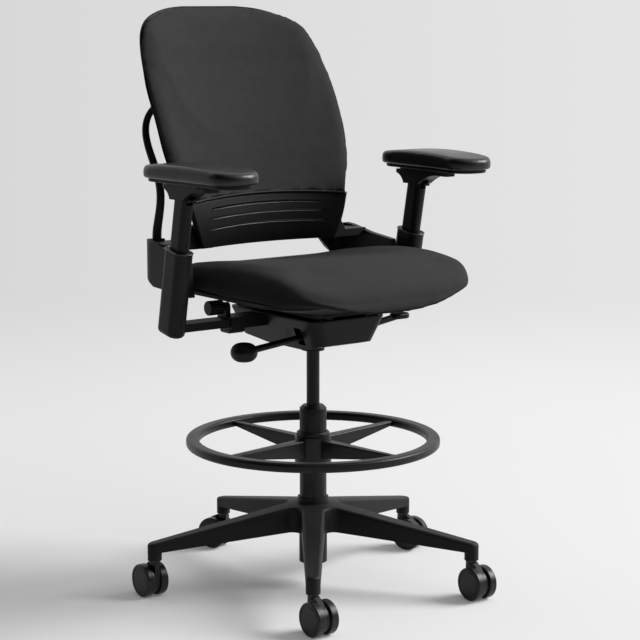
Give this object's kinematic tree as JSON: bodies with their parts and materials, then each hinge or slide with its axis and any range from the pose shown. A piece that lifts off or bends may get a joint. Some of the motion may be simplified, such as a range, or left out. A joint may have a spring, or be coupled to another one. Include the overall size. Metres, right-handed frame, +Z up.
{
  "type": "drafting chair",
  "caption": "Tall drafting chair: upholstered seat and curved back on a gas column with a foot ring, adjustable arms and a star base on twin-wheel casters.",
  "frame": {"origin": "on the floor, on the axis of the column", "axes": "+Z up along the column, -Y the way the sitter faces, +X towards the sitter's left"},
  "size_m": [0.6947, 0.7015, 1.152],
  "materials": {
    "base_plastic": "fine-grained black moulding",
    "steel": "plain steel",
    "column_paint": "satin black paint",
    "bush_plastic": "smooth black moulding",
    "foot_ring_plastic": "fine-grained black moulding",
    "mechanism_paint": "satin black paint",
    "bush_rubber": "plain black rubber",
    "lever_plastic": "smooth black moulding",
    "seat_plastic": "fine-grained black moulding",
    "upholstery": "woven charcoal fabric",
    "yoke_plastic": "fine-grained black moulding",
    "shell_plastic": "fine-grained black moulding",
    "upright_paint": "satin black paint",
    "caster_plastic": "semi-gloss black moulding",
    "wheel_plastic": "semi-gloss black moulding",
    "arm_plastic": "smooth black moulding",
    "pad_skin": "soft moulded skin with a low sheen"
  },
  "bodies": {
    "base": {"base_star": "base_plastic", "caster_stems": "steel", "column_tube": "column_paint", "column_bush": "bush_plastic", "rod_bearing": "steel"},
    "foot_ring": {"foot_hoop": "foot_ring_plastic", "foot_spider": "foot_ring_plastic", "foot_liner": "bush_plastic", "foot_collar": "bush_plastic"},
    "swivel": {"piston_rod": "steel", "rod_clip": "steel"},
    "chassis": {"gas_cylinder": "column_paint", "mech_housing": "mechanism_paint", "mech_lid": "mechanism_paint", "lid_screws": "steel", "tilt_shaft": "steel", "torsion_bushes": "bush_rubber"},
    "release_pin": {"release_pin": "steel"},
    "height_lever": {"height_lever": "lever_plastic"},
    "depth_lever": {"depth_lever": "lever_plastic"},
    "tension_knob": {"tension_knob": "lever_plastic"},
    "back": {"back_yoke": "yoke_plastic", "upright_left": "upright_paint", "upright_right": "upright_paint", "back_shell": "shell_plastic", "back_cushion": "upholstery", "shell_pins": "steel"},
    "seat_carriage": {"seat_carriage": "mechanism_paint"},
    "seat": {"seat_pan": "seat_plastic", "seat_cushion": "upholstery"},
    "caster_1": {"caster_1_body": "caster_plastic"},
    "caster_1_wheel_left": {"caster_1_wheel_left": "wheel_plastic"},
    "caster_1_wheel_right": {"caster_1_wheel_right": "wheel_plastic"},
    "caster_2": {"caster_2_body": "caster_plastic"},
    "caster_2_wheel_left": {"caster_2_wheel_left": "wheel_plastic"},
    "caster_2_wheel_right": {"caster_2_wheel_right": "wheel_plastic"},
    "caster_3": {"caster_3_body": "caster_plastic"},
    "caster_3_wheel_left": {"caster_3_wheel_left": "wheel_plastic"},
    "caster_3_wheel_right": {"caster_3_wheel_right": "wheel_plastic"},
    "caster_4": {"caster_4_body": "caster_plastic"},
    "caster_4_wheel_left": {"caster_4_wheel_left": "wheel_plastic"},
    "caster_4_wheel_right": {"caster_4_wheel_right": "wheel_plastic"},
    "caster_5": {"caster_5_body": "caster_plastic"},
    "caster_5_wheel_left": {"caster_5_wheel_left": "wheel_plastic"},
    "caster_5_wheel_right": {"caster_5_wheel_right": "wheel_plastic"},
    "arm_left_support": {"arm_left_support": "arm_plastic"},
    "arm_left_stalk": {"arm_left_stalk": "arm_plastic"},
    "arm_left_trigger": {"arm_left_trigger": "arm_plastic"},
    "arm_left_slider": {"arm_left_slider": "arm_plastic"},
    "arm_left_pad": {"arm_left_pad_base": "arm_plastic", "arm_left_pad": "pad_skin"},
    "arm_right_support": {"arm_right_support": "arm_plastic"},
    "arm_right_stalk": {"arm_right_stalk": "arm_plastic"},
    "arm_right_trigger": {"arm_right_trigger": "arm_plastic"},
    "arm_right_slider": {"arm_right_slider": "arm_plastic"},
    "arm_right_pad": {"arm_right_pad_base": "arm_plastic", "arm_right_pad": "pad_skin"}
  },
  "joints": [
    {"name": "caster_1_swivel", "type": "hinge", "parent": "base", "child": "caster_1", "pos_m": [-0.19556, -0.26332, 0.0732], "axis": [0, 0, 1], "continuous": true},
    {"name": "caster_1_roll_left", "type": "hinge", "parent": "caster_1", "child": "caster_1_wheel_left", "pos_m": [-0.18106, -0.28132, 0.033], "axis": [1, 0, 0], "continuous": true},
    {"name": "caster_1_roll_right", "type": "hinge", "parent": "caster_1", "child": "caster_1_wheel_right", "pos_m": [-0.21006, -0.28132, 0.033], "axis": [1, 0, 0], "continuous": true},
    {"name": "caster_2_swivel", "type": "hinge", "parent": "base", "child": "caster_2", "pos_m": [0.19, -0.26736, 0.0732], "axis": [0, 0, 1], "continuous": true},
    {"name": "caster_2_roll_left", "type": "hinge", "parent": "caster_2", "child": "caster_2_wheel_left", "pos_m": [0.2045, -0.28536, 0.033], "axis": [1, 0, 0], "continuous": true},
    {"name": "caster_2_roll_right", "type": "hinge", "parent": "caster_2", "child": "caster_2_wheel_right", "pos_m": [0.1755, -0.28536, 0.033], "axis": [1, 0, 0], "continuous": true},
    {"name": "caster_3_swivel", "type": "hinge", "parent": "base", "child": "caster_3", "pos_m": [0.31299, 0.09809, 0.0732], "axis": [0, 0, 1], "continuous": true},
    {"name": "caster_3_roll_left", "type": "hinge", "parent": "caster_3", "child": "caster_3_wheel_left", "pos_m": [0.33374, 0.0879, 0.033], "axis": [0.9063, 0.4226, 0], "continuous": true},
    {"name": "caster_3_roll_right", "type": "hinge", "parent": "caster_3", "child": "caster_3_wheel_right", "pos_m": [0.30746, 0.07564, 0.033], "axis": [0.9063, 0.4226, 0], "continuous": true},
    {"name": "caster_4_swivel", "type": "hinge", "parent": "base", "child": "caster_4", "pos_m": [0.00344, 0.32798, 0.0732], "axis": [0, 0, 1], "continuous": true},
    {"name": "caster_4_roll_left", "type": "hinge", "parent": "caster_4", "child": "caster_4_wheel_left", "pos_m": [-0.01713, 0.33853, 0.033], "axis": [-0.9135, -0.4067, 0], "continuous": true},
    {"name": "caster_4_roll_right", "type": "hinge", "parent": "caster_4", "child": "caster_4_wheel_right", "pos_m": [0.00936, 0.35032, 0.033], "axis": [-0.9135, -0.4067, 0], "continuous": true},
    {"name": "caster_5_swivel", "type": "hinge", "parent": "base", "child": "caster_5", "pos_m": [-0.31087, 0.10462, 0.0732], "axis": [0, 0, 1], "continuous": true},
    {"name": "caster_5_roll_left", "type": "hinge", "parent": "caster_5", "child": "caster_5_wheel_left", "pos_m": [-0.32537, 0.12262, 0.033], "axis": [-1, 0, 0], "continuous": true},
    {"name": "caster_5_roll_right", "type": "hinge", "parent": "caster_5", "child": "caster_5_wheel_right", "pos_m": [-0.29637, 0.12262, 0.033], "axis": [-1, 0, 0], "continuous": true},
    {"name": "foot_ring_height", "type": "slide", "parent": "base", "child": "foot_ring", "axis": [0, 0, 1], "range_m": [-0.065, 0.035]},
    {"name": "seat_swivel", "type": "hinge", "parent": "base", "child": "swivel", "pos_m": [0, 0, 0.058], "axis": [0, 0, 1], "continuous": true},
    {"name": "seat_height", "type": "slide", "parent": "swivel", "child": "chassis", "axis": [0, 0, 1], "range_m": [-0.09, 0.11]},
    {"name": "valve_press", "type": "slide", "parent": "chassis", "child": "release_pin", "axis": [0, 0, 1], "range_m": [-0.008, 0]},
    {"name": "height_lever_lift", "type": "hinge", "parent": "chassis", "child": "height_lever", "pos_m": [-0.056, -0.06, 0.5204], "axis": [0, 1, 0], "range_deg": [0, 7], "stiffness_Nm_per_rad": 1.5, "springref_deg": -5.73},
    {"name": "depth_lever_lift", "type": "hinge", "parent": "chassis", "child": "depth_lever", "pos_m": [0.056, -0.06, 0.5204], "axis": [0, -1, 0], "range_deg": [0, 8], "stiffness_Nm_per_rad": 1.5, "springref_deg": -5.73},
    {"name": "tension_turn", "type": "hinge", "parent": "chassis", "child": "tension_knob", "pos_m": [-0.168, 0.067, 0.5719], "axis": [1, 0, 0], "continuous": true},
    {"name": "recline", "type": "hinge", "parent": "chassis", "child": "back", "pos_m": [0, 0.112, 0.5304], "axis": [-1, 0, 0], "range_deg": [0, 22], "stiffness_Nm_per_rad": 60, "springref_deg": -17.19},
    {"name": "seat_glide", "type": "slide", "parent": "chassis", "child": "seat_carriage", "axis": [0, -1, 0], "range_m": [0, 0.036]},
    {"name": "seat_depth", "type": "slide", "parent": "seat_carriage", "child": "seat", "axis": [0, -1, 0], "range_m": [-0.015, 0.05]},
    {"name": "arm_left_width", "type": "slide", "parent": "chassis", "child": "arm_left_support", "axis": [1, 0, 0], "range_m": [0, 0.025]},
    {"name": "arm_left_height", "type": "slide", "parent": "arm_left_support", "child": "arm_left_stalk", "axis": [0, -0.1908, 0.9816], "range_m": [-0.08, 0.03]},
    {"name": "arm_left_release", "type": "hinge", "parent": "arm_left_stalk", "child": "arm_left_trigger", "pos_m": [0.285, 0.01097, 0.792], "axis": [-1, 0, 0], "range_deg": [0, 10], "stiffness_Nm_per_rad": 0.1, "springref_deg": -5.73},
    {"name": "arm_left_pad_depth", "type": "slide", "parent": "arm_left_stalk", "child": "arm_left_slider", "axis": [0, -1, 0], "range_m": [-0.03, 0.03]},
    {"name": "arm_left_pad_turn", "type": "hinge", "parent": "arm_left_slider", "child": "arm_left_pad", "pos_m": [0.285, -0.01, 0.8253], "axis": [0, 0, 1], "range_deg": [-22, 22]},
    {"name": "arm_right_width", "type": "slide", "parent": "chassis", "child": "arm_right_support", "axis": [-1, 0, 0], "range_m": [0, 0.025]},
    {"name": "arm_right_height", "type": "slide", "parent": "arm_right_support", "child": "arm_right_stalk", "axis": [0, -0.1908, 0.9816], "range_m": [-0.08, 0.03]},
    {"name": "arm_right_release", "type": "hinge", "parent": "arm_right_stalk", "child": "arm_right_trigger", "pos_m": [-0.285, 0.01097, 0.792], "axis": [-1, 0, 0], "range_deg": [0, 10], "stiffness_Nm_per_rad": 0.1, "springref_deg": -5.73},
    {"name": "arm_right_pad_depth", "type": "slide", "parent": "arm_right_stalk", "child": "arm_right_slider", "axis": [0, -1, 0], "range_m": [-0.03, 0.03]},
    {"name": "arm_right_pad_turn", "type": "hinge", "parent": "arm_right_slider", "child": "arm_right_pad", "pos_m": [-0.285, -0.01, 0.8253], "axis": [0, 0, 1], "range_deg": [-22, 22]}
  ],
  "couplings": [
    {"joint": "valve_press", "follows": "height_lever_lift", "m_per_rad": -0.063},
    {"joint": "seat_glide", "follows": "recline", "m_per_rad": 0.0928}
  ]
}
